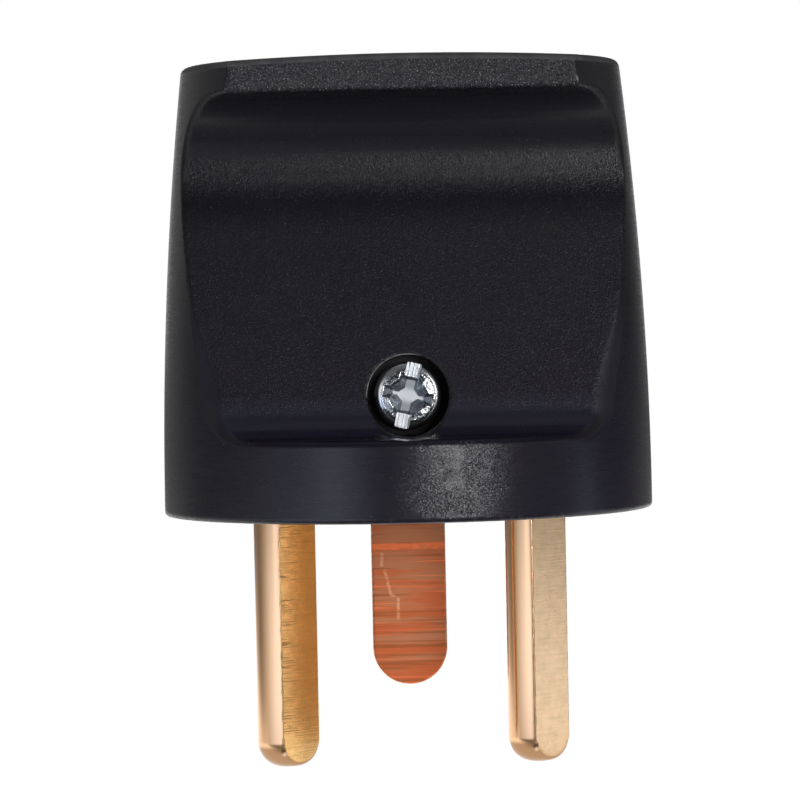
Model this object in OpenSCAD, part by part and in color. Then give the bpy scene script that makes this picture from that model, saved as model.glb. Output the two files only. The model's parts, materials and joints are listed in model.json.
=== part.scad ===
// Rewirable three pin mains plug: origin at the middle of the engagement face, pins along -Z, front at -Y, millimetres

/* [Cover] */
// Diameter of the cover at its base
base_d = 37.4; // [36.4:0.2:40]
// Height from the engagement face to the crown of the top
cover_h = 34.7; // [33.5:0.1:37]
// Radius of the arc that the sides lean in along
side_r = 298; // [220:2:400]
// Radius of the domed top
dome_r = 234; // [150:2:400]
// Radius of the rounded top rim
rim_r = 0.5; // [0.3:0.1:1.2]
// Radius of the rounded bottom rim
foot_rim_r = 0.3; // [0.2:0.1:0.9]
// Thickness of the moulded wall
wall = 1.8; // [1.5:0.1:2.1]
// Thickness of the top wall that the cord goes through
top_wall = 4; // [3:0.5:6]

/* [Finger grip] */
// Thickness across the lip, front to back
lip_thick = 21.5; // [20:0.5:23]
// Height of the upright front of the lip, to the crown
lip_h = 3; // [2.4:0.1:3.8]
// Radius of the lower edge of the lip
lip_edge_r = 0.4; // [0.2:0.1:0.8]
// Thickness across the neck, front to back
neck_thick = 11.2; // [10.8:0.2:12.6]
// Radius of the cove below the lip
cove_r = 5; // [4:0.2:6]
// Height of the upright band between the cove and the slanted face
band_h = 1.6; // [1:0.2:3]
// Radius of the bend from the band to the slanted face
bend_r = 3; // [1:0.5:6]
// Thickness across the foot of the slanted faces
foot_thick = 24.4; // [23.4:0.2:26]
// Radius of the hollow where a slanted face meets the ring
foot_r = 2.6; // [1.4:0.2:3.2]
// Height of the round ring below the slanted faces
ring_h = 6.1; // [5.6:0.1:7]

/* [Cord inlet and clamp] */
// Diameter of the cord inlet
cord_d = 8.4; // [7.6:0.2:9]
// Width of the bevel round the inlet's mouth
mouth = 0.6; // [0.3:0.1:0.8]
// Height of the cord clamp
clamp_h = 3.8; // [3.6:0.1:4.2]
// Thickness of the clamp bar
bar_t = 2.4; // [2:0.1:2.6]
// Depth that the clamp presses into the cord on each side
bar_bite = 0.6; // [0.3:0.1:0.9]
// Width of each clamp post
post_w = 5.6; // [5:0.2:6]
// Diameter of the clamp screws
clamp_screw_d = 2.5; // [2:0.1:2.6]

/* [Line and neutral pins] */
// Spacing of the line and neutral pins
pin_spacing = 19; // [18.6:0.1:19.6]
// Distance of these pins in front of the axis
pin_front = 4.4; // [4:0.1:4.8]
// Diameter of these pins
pin_d = 4.7; // [4.6:0.05:5]
// Length below the engagement face
pin_len = 19; // [18:0.5:20]
// Thickness between the two milled flats
flat_t = 2.8; // [2.6:0.1:3.4]
// Angle of the flats to the front face
flat_angle = 45; // [40:1:50]
// Radius of the rounded pin end
tip_r = 1.9; // [1.2:0.1:2.2]
// Diameter of the terminal at the upper end
terminal_d = 6; // [5.6:0.1:6.4]

/* [Earth pin] */
// Distance of the flat of the earth pin behind the axis
earth_back = 7.7; // [7.3:0.1:7.9]
// Width of the earth pin
earth_w = 5.86; // [5.5:0.02:6.2]
// Length below the engagement face
earth_len = 14.2; // [13.5:0.1:15]
// Depth of the earth terminal block, front to back
earth_block_t = 4.5; // [4.3:0.1:4.8]

/* [Terminals] */
// Diameter of the hole that takes a conductor
wire_d = 2.6; // [2.2:0.1:2.8]
// Diameter of the terminal screws
terminal_screw_d = 2.6; // [2.4:0.1:3]
// Height of the collars that hold the pins down
collar_h = 1.2; // [1:0.1:1.4]
// Thickness of the plate over the collars
retainer_t = 1.6; // [1.4:0.1:1.8]

/* [Cover screw] */
// Height of the cover screw above the engagement face
screw_z = 9.05; // [8.8:0.05:9.4]
// Diameter of the screw thread
screw_d = 3; // [2.6:0.1:3.2]
// Diameter of the screw head
head_d = 5.05; // [4.8:0.05:5.6]
// Height of the screw head
head_h = 1.9; // [1.6:0.1:2.1]
// Diameter of the sunk hole for the head
sink_d = 6.1; // [5.9:0.1:6.6]
// Depth of the head below the slanted face
head_sunk = 0.8; // [0.5:0.1:1.2]
// Width of the driver slot
slot_w = 1.1; // [0.8:0.1:1.2]
// Turn of the slot from upright, clockwise from the front
slot_turn = 13; // [0:1:45]
// Width across the flats of the square nut
nut_w = 5.5; // [5:0.1:5.6]
// Thickness of the nut
nut_t = 2.4; // [1.8:0.1:2.4]

/* [Fits] */
// Gap between parts that slide or drop together
fit = 0.1; // [0.06:0.02:0.14]
// Gap between a thread and its hole
thread_fit = 0.04; // [0.02:0.01:0.06]
// Gap left under a screw head that is drawn up
rest = 0.02; // [0.01:0.01:0.04]
// Gap kept between parts that do not touch
clear = 0.3; // [0.2:0.05:0.4]

/* [Hidden] */
$fn = 64;
base_r = base_d / 2;
lip_d = lip_thick / 2;
neck_d = neck_thick / 2;
foot_d = foot_thick / 2;
lip_z = cover_h - lip_h;
cove_z = lip_z - cove_r;
band_z = cove_z - band_h;
// Lean of the slanted faces, sideways per height
lean = (foot_d - neck_d) / (band_z - ring_h);
lean_a = atan(lean);
// Wall thickness measured along Y
wall_y = wall / cos(lean_a);
far = base_r + 5;
seat_r = base_r - wall;
seat_z = ring_h - wall;

// Insert and what stands on it
disc_r = seat_r - fit;
disc_t = seat_z - fit;
collar_d = pin_d + 2;
collar_top = disc_t + collar_h;
retainer_z = collar_top + fit / 2;
retainer_top = retainer_z + retainer_t;
pin_x = pin_spacing / 2;
pin_y = -pin_front;
small_head_h = 1.2;
small_head_d = clamp_screw_d + 1.1;

// Cover screw, seat and nut post, from the front inwards
face_y = -face_d(screw_z);
seat_y = face_y + head_sunk + head_h;
boss_y = seat_y + 1.2;
boss_d = sink_d + 2;
post_y0 = boss_y + 2 * fit;
slot_y0 = post_y0 + 1;
slot_y1 = slot_y0 + nut_t + 2 * fit;
post_y1 = slot_y1 + 1;
nut_post_x = nut_w / 2 + fit + 1.4;
nut_post_top = screw_z + nut_w / 2 + 0.4;

// Cord clamp, as high as the hollow is deep enough for it
clamp_y = -2.2;
clamp_d = cord_d - 2 * bar_bite;
bar_y = clamp_y - fit / 2;
clamp_reach = -bar_y + bar_t + small_head_h + clear;
clamp_top = min(height_for(clamp_reach), cover_h - top_wall - 2);
clamp_z = clamp_top - clamp_h;
post_x0 = cord_d / 2 + 0.9;
post_x1 = post_x0 + post_w;
clamp_x = (post_x0 + post_x1) / 2;
clamp_mid = (clamp_z + clamp_top) / 2;

// Terminals, as high as the hollow and the clamp allow
terminal_top = min(clamp_z - clear, height_for(pin_front + terminal_d / 2 + clear));
terminal_screw_z = terminal_top - terminal_screw_d / 2 - 0.9;
terminal_head_d = terminal_screw_d + 1.2;
// Room between a terminal and the wall beside it, and the head that fits there
head_room = sqrt(pow(side_x(terminal_top) - wall, 2) - pow(pin_front + terminal_head_d / 2, 2))
    - pin_x - terminal_d / 2;
terminal_head_h = min(1.3, head_room - 2 * clear);
block_y1 = earth_back - 0.4;
block_y0 = block_y1 - earth_block_t;
block_mid = (block_y0 + block_y1) / 2;
block_x = earth_w / 2 + 0.3;
block_top = min(clamp_z - clear, height_for(block_y1 + clear));
block_screw_z = block_top - terminal_screw_d / 2 - 0.9;
tower_y0 = pin_y + collar_d / 2 + clear;
tower_y1 = block_y0 - clear;
retainer_screw_y = block_mid + 0.6;
retainer_x = pin_x + collar_d / 2 + 0.3;
retainer_y1 = retainer_screw_y + small_head_d / 2 + 0.3;

// Points along an arc
function arc(c, r, a0, a1, n) =
    [for (i = [0:n]) c + r * [cos(a0 + (a1 - a0) * i / n), sin(a0 + (a1 - a0) * i / n)]];

// Radius of the leaning side at a height
function side_x(z) = base_r - side_r + sqrt(side_r * side_r - z * z);

// Height of the domed top at a distance from the axis
function dome_z(x) = cover_h - dome_r + sqrt(dome_r * dome_r - x * x);

// Distance of a slanted face from the middle plane
function face_d(z) = neck_d + max(0, band_z - z) * lean;

// Height up to which the hollow reaches a distance from the middle plane
function height_for(y) = band_z - (y + wall_y - neck_d) / lean;

// Outline of half the barrel, from the axis at the base to the axis at the crown
function barrel_points() =
    let (rim_x = side_x(cover_h - 1) - rim_r, rim_z = dome_z(rim_x) - rim_r)
    concat(
        [[0, 0]],
        arc([base_r - foot_rim_r, foot_rim_r], foot_rim_r, -90, 0, 4),
        [for (i = [1:10]) let (z = foot_rim_r + (rim_z - foot_rim_r) * i / 11) [side_x(z), z]],
        arc([rim_x, rim_z], rim_r, 0, 84, 5),
        [for (i = [5:-1:0]) let (x = (rim_x - 0.5) * i / 6) [x, dome_z(x)]]);

// Outline of what is cut away behind, in Y and Z
function grip_points() =
    let (
        foot_c = [foot_d - lean * foot_r + foot_r / cos(lean_a), ring_h + foot_r],
        bend_c = [neck_d + bend_r, band_z + bend_r * tan(lean_a / 2)],
        cove_c = [neck_d + cove_r, cove_z],
        cove_end = acos((min(lip_d - lip_edge_r, neck_d + cove_r) - cove_c[0]) / cove_r),
        edge_z = cove_z + cove_r * sin(cove_end))
    concat(
        [[far, ring_h]],
        arc(foot_c, foot_r, 270, 180 + lean_a, 6),
        arc(bend_c, bend_r, 180 + lean_a, 180, 3),
        arc(cove_c, cove_r, 180, cove_end, 14),
        arc([lip_d - lip_edge_r, edge_z + lip_edge_r], lip_edge_r, -90, 0, 4),
        [[lip_d, cover_h + 1], [far, cover_h + 1]]);

// Stretch of an outline in Y and Z along X
module along_x(len) {
    rotate([90, 0, 90])
        linear_extrude(height = len, center = true)
            children();
}

// Cylinder along Y from one place to another, at a height
module rod_y(d, y0, y1, x, z) {
    translate([x, y0, z])
        rotate([-90, 0, 0])
            cylinder(d = d, h = y1 - y0);
}

// Cylinder along X from one place to another
module rod_x(d, x0, x1, y, z) {
    translate([x0, y, z])
        rotate([0, 90, 0])
            cylinder(d = d, h = x1 - x0);
}

// Box from corner to corner
module box(a, b) {
    translate(a)
        cube(b - a);
}

module barrel() {
    rotate_extrude($fn = 96)
        polygon(barrel_points());
}

// Cover without its hollow
module cover_form() {
    difference() {
        barrel();
        for (back = [0, 1])
            mirror([0, back, 0])
                mirror([0, 1, 0])
                    along_x(3 * base_d)
                        polygon(grip_points());
    }
}

// Hollow above the insert, as wide as the sides and as deep as the slanted faces allow
module cover_hollow() {
    hollow_top = cover_h - top_wall;
    neck_y = neck_d - wall_y;
    low_z = seat_z - 0.5;
    low_y = neck_y + (band_z - low_z) * lean;
    intersection() {
        rotate_extrude($fn = 96)
            polygon(concat(
                [[0, low_z]],
                [for (i = [0:8]) let (z = low_z + (hollow_top - low_z) * i / 8) [side_x(z) - wall, z]],
                [[0, hollow_top]]));
        along_x(3 * base_d)
            polygon([[-low_y, low_z], [low_y, low_z], [neck_y, band_z], [neck_y, hollow_top + 1],
                [-neck_y, hollow_top + 1], [-neck_y, band_z]]);
    }
}

module cover() {
    color([0.13, 0.13, 0.14])
        difference() {
            union() {
                difference() {
                    cover_form();
                    cover_hollow();
                    translate([0, 0, -1])
                        cylinder(r = seat_r, h = seat_z + 1, $fn = 96);
                    translate([0, 0, clamp_top])
                        cylinder(d = cord_d + 2 * clear, h = cover_h - top_wall - clamp_top);
                    translate([0, 0, cover_h - top_wall - 0.5])
                        cylinder(d = cord_d, h = top_wall + 1);
                    translate([0, 0, cover_h - mouth])
                        cylinder(d1 = cord_d, d2 = cord_d + 4 * mouth, h = 2 * mouth);
                }
                intersection() {
                    cover_form();
                    rod_y(boss_d, -far, boss_y, 0, screw_z);
                }
            }
            rod_y(sink_d, -far, seat_y, 0, screw_z);
            rod_y(screw_d + 4 * fit, seat_y - 1, boss_y + 1, 0, screw_z);
        }
}

// Outline of a pin between its flats, made larger by a gap
module flat_pin_outline(gap) {
    intersection() {
        circle(d = pin_d + 2 * gap);
        rotate(flat_angle)
            square([2 * pin_d, flat_t + 2 * gap], center = true);
    }
}

// Outline of the half round earth pin, made larger by a gap
module earth_outline(gap) {
    intersection() {
        circle(d = earth_w + 2 * gap);
        translate([-earth_w, -gap])
            square([2 * earth_w, earth_w]);
    }
}

module base_insert() {
    edge = 0.3;
    color([0.2, 0.2, 0.21])
        difference() {
            union() {
                rotate_extrude($fn = 96)
                    polygon([[0, 0], [disc_r - edge, 0], [disc_r, edge], [disc_r, disc_t], [0, disc_t]]);
                box([-nut_post_x, post_y0, disc_t - 1], [nut_post_x, post_y1, nut_post_top]);
                for (side = [-1, 1])
                    translate([side * clamp_x - post_w / 2, tower_y0, disc_t - 1])
                        cube([post_w, tower_y1 - tower_y0, clamp_top - disc_t + 1]);
                box([-post_x1, clamp_y, clamp_z], [post_x1, cord_d / 2 + 0.7, clamp_top]);
            }
            for (side = [-1, 1]) {
                translate([side * pin_x, pin_y, -1])
                    linear_extrude(height = disc_t + 2)
                        flat_pin_outline(fit / 2);
                rod_y(clamp_screw_d + 2 * thread_fit, clamp_y - 1, tower_y1 - 0.6, side * clamp_x, clamp_mid);
                translate([side * pin_x, retainer_screw_y, 1])
                    cylinder(d = clamp_screw_d + 2 * thread_fit, h = disc_t);
            }
            translate([0, earth_back, -1])
                linear_extrude(height = disc_t + 2)
                    earth_outline(fit / 2);
            // Way of the cord past the clamp, open to the front
            translate([0, 0, clamp_z - 1])
                cylinder(d = clamp_d, h = clamp_h + 2);
            box([-clamp_d / 2, -cord_d, clamp_z - 1], [clamp_d / 2, 0, clamp_top + 1]);
            // Nut slot, open at the top, and the screw's way through the post
            box([-nut_w / 2 - fit, slot_y0, screw_z - nut_w / 2 - fit], [nut_w / 2 + fit, slot_y1, nut_post_top + 1]);
            rod_y(screw_d + 4 * fit, post_y0 - 1, post_y1 + 1, 0, screw_z);
        }
}

// Pin with its collar and terminal, its screw on the side given
module flat_pin(side) {
    color([0.78, 0.62, 0.38])
        translate([side * pin_x, pin_y, 0])
            difference() {
                union() {
                    intersection() {
                        rotate_extrude()
                            polygon(concat(
                                [[0, -pin_len]],
                                arc([pin_d / 2 - tip_r, tip_r - pin_len], tip_r, -90, 0, 8),
                                [[pin_d / 2, collar_top], [0, collar_top]]));
                        translate([0, 0, -2 * pin_len])
                            linear_extrude(height = 4 * pin_len)
                                rotate(flat_angle)
                                    square([2 * pin_d, flat_t], center = true);
                    }
                    translate([0, 0, disc_t])
                        cylinder(d = collar_d, h = collar_h);
                    translate([0, 0, collar_top - 0.5])
                        cylinder(d = terminal_d, h = terminal_top - collar_top + 0.5);
                }
                translate([0, 0, retainer_top])
                    cylinder(d = wire_d, h = terminal_top);
                rod_x(terminal_screw_d + 2 * thread_fit, side > 0 ? 0 : -terminal_d, side > 0 ? terminal_d : 0,
                    0, terminal_screw_z);
            }
}

module line_pin() {
    flat_pin(-1);
}

module neutral_pin() {
    flat_pin(1);
}

module earth_pin() {
    color([0.72, 0.4, 0.24])
        difference() {
            union() {
                translate([0, earth_back, 0])
                    intersection() {
                        union() {
                            translate([0, 0, earth_w / 2 - earth_len])
                                cylinder(d = earth_w, h = earth_len - earth_w / 2 + disc_t);
                            translate([0, 0, earth_w / 2 - earth_len])
                                sphere(d = earth_w);
                        }
                        box([-earth_w, 0, -2 * earth_len], [earth_w, earth_w, earth_len]);
                    }
                box([-earth_w * 0.4, earth_back, disc_t - 1], [earth_w * 0.4, earth_back + 1.5, collar_top]);
                box([-block_x - 0.7, block_y0, disc_t], [block_x + 0.7, earth_back + 1.5, collar_top]);
                box([-block_x, block_y0, disc_t], [block_x, block_y1, block_top]);
            }
            translate([0, block_mid, retainer_top])
                cylinder(d = wire_d, h = block_top);
            rod_x(terminal_screw_d + 2 * thread_fit, 0, earth_w, block_mid, block_screw_z);
        }
}

// Slotted cheese head screw, its tip at the origin and its head at +Z
module small_screw(d, len, hd, hh) {
    color([0.72, 0.73, 0.75])
        difference() {
            union() {
                cylinder(d = d, h = len + hh / 2);
                translate([0, 0, len])
                    cylinder(d = hd, h = hh);
            }
            translate([-hd, -d / 7, len + hh / 2])
                cube([2 * hd, d / 3.5, hh]);
        }
}

// Terminal screw turned out far enough for a conductor, on the side given
module terminal_screw(x, y, z, half, side) {
    tip = 0.3;
    translate([x + side * tip, y, z])
        rotate([0, side * 90, 0])
            small_screw(terminal_screw_d, half - tip + clear, terminal_head_d, terminal_head_h);
}

module line_terminal_screw() {
    terminal_screw(-pin_x, pin_y, terminal_screw_z, terminal_d / 2, -1);
}

module neutral_terminal_screw() {
    terminal_screw(pin_x, pin_y, terminal_screw_z, terminal_d / 2, 1);
}

module earth_terminal_screw() {
    terminal_screw(0, block_mid, block_screw_z, block_x, 1);
}

// Plate that keeps the collars down, cut out around what stands on the insert
module pin_retainer() {
    color([0.28, 0.28, 0.29])
        translate([0, 0, retainer_z])
            linear_extrude(height = retainer_t)
                difference() {
                    translate([-retainer_x, pin_y - collar_d / 2])
                        square([2 * retainer_x, retainer_y1 - pin_y + collar_d / 2]);
                    translate([-nut_post_x - clear, -far])
                        square([2 * (nut_post_x + clear), post_y1 + clear + far]);
                    translate([-block_x - fit, block_y0 - fit])
                        square([2 * (block_x + fit), far]);
                    for (side = [-1, 1]) {
                        translate([side * pin_x, pin_y])
                            circle(d = terminal_d + 2 * fit);
                        translate([side * clamp_x - post_w / 2 - fit, tower_y0 - fit])
                            square([post_w + 2 * fit, tower_y1 - tower_y0 + 2 * fit]);
                        translate([side * pin_x, retainer_screw_y])
                            circle(d = clamp_screw_d + 2 * fit);
                    }
                }
}

module retainer_screw(side) {
    translate([side * pin_x, retainer_screw_y, 1.4])
        small_screw(clamp_screw_d, retainer_top - 1.4 + rest, small_head_d, small_head_h);
}

module retainer_screw_left() {
    retainer_screw(-1);
}

module retainer_screw_right() {
    retainer_screw(1);
}

module cord_clamp_bar() {
    color([0.28, 0.28, 0.29])
        difference() {
            box([-post_x1, bar_y - bar_t, clamp_z], [post_x1, bar_y, clamp_top]);
            translate([0, 0, clamp_z - 1])
                cylinder(d = clamp_d, h = clamp_h + 2);
            for (side = [-1, 1])
                rod_y(clamp_screw_d + 2 * fit, bar_y - bar_t - 1, bar_y + 1, side * clamp_x, clamp_mid);
        }
}

module clamp_screw(side) {
    tip_y = tower_y1 - 1;
    translate([side * clamp_x, tip_y, clamp_mid])
        rotate([90, 0, 0])
            small_screw(clamp_screw_d, tip_y - bar_y + bar_t + rest, small_head_d, small_head_h);
}

module clamp_screw_left() {
    clamp_screw(-1);
}

module clamp_screw_right() {
    clamp_screw(1);
}

// Screw with a domed head, a slot right across it and a cross recess
module cover_screw() {
    len = post_y1 - seat_y + 0.5;
    edge = 0.5;
    color([0.75, 0.76, 0.78])
        translate([0, seat_y - rest, screw_z])
            rotate([90, -slot_turn, 0])
                difference() {
                    union() {
                        translate([0, 0, -len])
                            cylinder(d = screw_d, h = len + 0.5);
                        rotate_extrude()
                            polygon(concat(
                                [[0, 0], [head_d / 2, 0]],
                                arc([head_d / 2 - edge, head_h - edge - 0.15], edge, 0, 75, 4),
                                [[0.8, head_h], [0, head_h]]));
                    }
                    translate([-slot_w / 2, -head_d, head_h - 0.75])
                        cube([slot_w, 2 * head_d, 2]);
                    for (turn = [0, 90])
                        rotate(turn)
                            translate([-slot_w / 2, -head_d * 0.38, head_h - 1.2])
                                cube([slot_w, head_d * 0.76, 2]);
                }
}

module cover_nut() {
    mid_y = (slot_y0 + slot_y1) / 2;
    color([0.72, 0.73, 0.75])
        difference() {
            translate([-nut_w / 2, mid_y - nut_t / 2, screw_z - nut_w / 2])
                cube([nut_w, nut_t, nut_w]);
            rod_y(screw_d + 2 * thread_fit, mid_y - nut_t, mid_y + nut_t, 0, screw_z);
        }
}

cover();
base_insert();
line_pin();
neutral_pin();
earth_pin();
line_terminal_screw();
neutral_terminal_screw();
earth_terminal_screw();
pin_retainer();
retainer_screw_left();
retainer_screw_right();
cord_clamp_bar();
clamp_screw_left();
clamp_screw_right();
cover_screw();
cover_nut();
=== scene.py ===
"""Looks of a rewirable mains plug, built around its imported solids. Sizes are in millimetres, the scene in metres."""

import functools
import json
import math

import bpy
import numpy as np
from mathutils import Matrix, Vector


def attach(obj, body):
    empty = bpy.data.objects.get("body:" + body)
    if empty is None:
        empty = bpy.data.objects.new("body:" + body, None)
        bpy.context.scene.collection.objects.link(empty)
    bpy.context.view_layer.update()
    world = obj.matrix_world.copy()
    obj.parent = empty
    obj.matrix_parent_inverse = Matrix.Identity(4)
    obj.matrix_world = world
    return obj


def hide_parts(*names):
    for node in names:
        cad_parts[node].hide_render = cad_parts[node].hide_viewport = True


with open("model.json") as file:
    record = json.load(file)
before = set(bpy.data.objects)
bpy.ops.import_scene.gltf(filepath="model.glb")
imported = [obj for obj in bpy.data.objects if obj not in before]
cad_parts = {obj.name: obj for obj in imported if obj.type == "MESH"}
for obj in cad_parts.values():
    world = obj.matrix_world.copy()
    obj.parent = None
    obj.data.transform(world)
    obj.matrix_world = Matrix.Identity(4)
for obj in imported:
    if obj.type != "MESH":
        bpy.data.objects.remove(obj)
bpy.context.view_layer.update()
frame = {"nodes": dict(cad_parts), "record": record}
nodes = frame["nodes"]
MM = 0.001
TINY = 1e-9
HALF_ROOT = math.sqrt(0.5)

# Sizes of the pieces, as in the part's source, but the base 0.01 narrower and the bend of the grip rounder
BASE_R, COVER_H, SIDE_R, DOME_R = 18.69, 34.7, 298.0, 234.0
RIM_R, FOOT_RIM_R, WALL, TOP_WALL = 0.5, 0.3, 1.8, 4.0
LIP_D, LIP_H, LIP_EDGE_R, NECK_D = 10.75, 3.0, 0.4, 5.6
COVE_R, BAND_H, BEND_R, FOOT_D, FOOT_R, RING_H = 5.0, 1.6, 9.0, 12.2, 2.6, 6.1
CORD_R, MOUTH, CHANNEL_R, CLAMP_TOP = 4.2, 0.6, 4.5, 18.03
SCREW_Z, SINK_R, CLEAR_R, SCREW_R, SCREW_END = 9.05, 3.05, 1.7, 1.5, -1.975
HEAD_SUNK, HEAD_H, HEAD_R, CROWN_R = 0.8, 1.9, 2.525, 11.0
SLOT_D, SLOT_W, SLOT_TURN, REST, RECESS_D = 0.75, 1.1, math.radians(13), 0.02, 1.2
PIN_X, PIN_Y, PIN_R, PIN_LEN, FLAT_D, TIP_R = 9.5, -4.4, 2.35, 19.0, 1.4, 1.9
DISC_T, COLLAR_R, COLLAR_TOP, RETAINER_TOP = 4.2, 3.35, 5.4, 7.05
TERMINAL_R, TERMINAL_TOP, TERMINAL_Z, WIRE_R, THREAD_R = 3.0, 13.57, 11.37, 1.3, 1.34
EARTH_Y, EARTH_R, EARTH_LEN, KEY_D, TREAD = 7.7, 2.93, 14.2, 1.5, 0.7
BLOCK_X, BLOCK_Y0, BLOCK_Y1, BLOCK_TOP = 3.23, 2.8, 7.3, 13.86

# Edges and the burr at each pin's tip that only the looks have
SHARP_R, DOME_EDGE_R, HOLE_EDGE_R, BORE_EDGE_R = 0.07, 0.45, 0.12, 0.1
BURR_R, BURR_SUNK, BURR_AT, BURR_IN = 0.35, 0.30, (-0.30, -2.166, -17.87), (0.125, 0.905, 0.405)

# Places that follow from the sizes
LIP_Z = COVER_H - LIP_H
COVE_Z = LIP_Z - COVE_R
BAND_Z = COVE_Z - BAND_H
LEAN = (FOOT_D - NECK_D) / (BAND_Z - RING_H)
LEAN_A = math.degrees(math.atan(LEAN))
LEAN_COS = math.cos(math.radians(LEAN_A))
WALL_Y = WALL / LEAN_COS
SEAT_R, SEAT_Z = BASE_R - WALL, RING_H - WALL
FACE_Y = -(NECK_D + (BAND_Z - SCREW_Z) * LEAN)
SEAT_Y = FACE_Y + HEAD_SUNK + HEAD_H
BOSS_Y, BOSS_R = SEAT_Y + 1.2, SINK_R + 1.0
FAR = BASE_R + 5


def arc(cx, cz, r, a0, a1, n):
    """Points of an arc from one angle to another, in degrees."""
    t = np.radians(np.linspace(a0, a1, n + 1))
    return list(zip(cx + r * np.cos(t), cz + r * np.sin(t)))


def grip_outline():
    """Outline of what is cut away in front and behind, in distance from the middle plane and height."""
    foot_c = (FOOT_D - LEAN * FOOT_R + FOOT_R / LEAN_COS, RING_H + FOOT_R)
    bend_c = (NECK_D + BEND_R, BAND_Z + BEND_R * math.tan(math.radians(LEAN_A / 2)))
    cove_end = math.degrees(math.acos((LIP_D - LIP_EDGE_R - NECK_D - COVE_R) / COVE_R))
    edge_z = COVE_Z + COVE_R * math.sin(math.radians(cove_end))
    return np.array(
        [(FAR, RING_H)]
        + arc(*foot_c, FOOT_R, 270, 180 + LEAN_A, 16)
        + arc(*bend_c, BEND_R, 180 + LEAN_A, 180, 8)
        + arc(NECK_D + COVE_R, COVE_Z, COVE_R, 180, cove_end, 32)
        + arc(LIP_D - LIP_EDGE_R, edge_z + LIP_EDGE_R, LIP_EDGE_R, -90, 0, 8)
        + [(LIP_D, COVER_H + 1), (FAR, COVER_H + 1)]
    )


GRIP = grip_outline()


def outline_distance(px, pz, outline):
    """Distance to a closed outline, negative inside it."""
    shape = np.broadcast(px, pz).shape
    best = np.full(shape, 1e9)
    odd = np.zeros(shape, bool)
    for (ax, az), (bx, bz) in zip(outline, np.roll(outline, -1, 0)):
        ex, ez = bx - ax, bz - az
        if abs(ex) + abs(ez) < TINY:
            continue
        wx, wz = px - ax, pz - az
        t = np.clip((wx * ex + wz * ez) / (ex * ex + ez * ez), 0, 1)
        best = np.minimum(best, (wx - t * ex) ** 2 + (wz - t * ez) ** 2)
        if ez:
            odd = odd ^ (((az > pz) != (bz > pz)) & (px < ax + wz * ex / ez))
    return np.where(odd, -1.0, 1.0) * np.sqrt(best)


def rounded(a, b, r):
    """What two shapes share, its edge rounded by r."""
    return np.minimum(-r, np.maximum(a, b)) + np.hypot(np.maximum(r + a, 0), np.maximum(r + b, 0))


def shared(*shapes):
    """What all the shapes share, its edges sharp."""
    return functools.reduce(np.maximum, shapes)


def slab(v, lo, hi):
    """Distance past two parallel planes."""
    return np.abs(v - (lo + hi) / 2) - (hi - lo) / 2


def step(v, lo, hi):
    """Smooth step from 0 at lo to 1 at hi."""
    t = np.clip((v - lo) / (hi - lo), 0, 1)
    return t * t * (3 - 2 * t)


def hump(v, middle, width):
    """Smooth rise to 1 at a middle and fall again."""
    return np.exp(-((v - middle) / width) ** 2)


def cover_faces(x, y, z):
    """Distances past the side, the dome and the grip faces."""
    side = np.hypot(np.hypot(x, y) - (BASE_R - SIDE_R), z) - SIDE_R
    dome = np.sqrt(x * x + y * y + (z - COVER_H + DOME_R) ** 2) - DOME_R
    grip = -outline_distance(np.abs(y), z, GRIP)
    return side, dome, grip


def cover_shape(x, y, z):
    """Cover with its edges softened by place, hollow inside."""
    side, dome, grip = cover_faces(x, y, z)
    rim = (RIM_R - SHARP_R) * step(dome, -1.6, -0.9) * step(-grip, 0.3, 1.2)
    foot = 0.5 * step(z, 13.5, 7.0) + 0.6 * step(z, 17.0, 11.0) * step(z, 6.1, 10.5)
    cove = 0.2 * step(z, 25.5, 28.0) * step(z, LIP_Z + 0.3, LIP_Z - 0.3)
    edge = SHARP_R + rim + foot + cove
    body = rounded(rounded(dome, grip, DOME_EDGE_R), rounded(side, -z, FOOT_RIM_R), edge)
    across = np.hypot(x, z - SCREW_Z)
    body = rounded(body, -np.maximum(across - SINK_R, y - SEAT_Y), HOLE_EDGE_R)
    # Hollow with the boss for the screw, the seat of the insert and the way of the cord
    radius = np.hypot(x, y)
    ceiling = COVER_H - TOP_WALL
    upright = np.abs(y) - NECK_D + WALL_Y
    faces = np.minimum(upright, (upright - (BAND_Z - z) * LEAN) * LEAN_COS)
    hollow = shared(side + WALL, faces, z - ceiling, SEAT_Z - 0.5 - z)
    channel = np.maximum(radius - CHANNEL_R, slab(z, CLAMP_TOP, ceiling))
    boss = np.maximum(across - BOSS_R, y - BOSS_Y)
    hollow = np.maximum(np.minimum(hollow, channel), -boss)
    seat = np.maximum(radius - SEAT_R, z - SEAT_Z)
    through = np.maximum(across - CLEAR_R, np.abs(y - (SEAT_Y + BOSS_Y) / 2) - 1.5)
    body = shared(body, -hollow, -seat, -through)
    bore = np.maximum(radius - CORD_R, ceiling - 0.5 - z)
    bevel = (radius - CORD_R - (z - COVER_H + MOUTH)) * HALF_ROOT
    return rounded(rounded(body, -bore, BORE_EDGE_R), -bevel, HOLE_EDGE_R)


def uneven(t, seed):
    """A smooth irregular line between -1 and 1."""
    return (np.sin(2.9 * t + seed) + 0.8 * np.sin(6.7 * t + 2.1 * seed) + 0.7 * np.sin(12.3 * t + 0.7 * seed)) / 2.5


def pin_flats(x, y, side):
    """Distance past a pin's two flats."""
    return np.abs(x - side * PIN_X - y + PIN_Y) * HALF_ROOT - FLAT_D


def pin_burr(x, y, z, side, sunk):
    """Distance from the small burr where the front flat's edge meets the tip, or from a point sunk below it."""
    axis = (side * PIN_X, PIN_Y, 0)
    middle = [at + off + sunk * inward for at, off, inward in zip(axis, BURR_AT, BURR_IN)]
    return np.sqrt(sum((v - c) ** 2 for v, c in zip((x, y, z), middle)))


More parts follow.
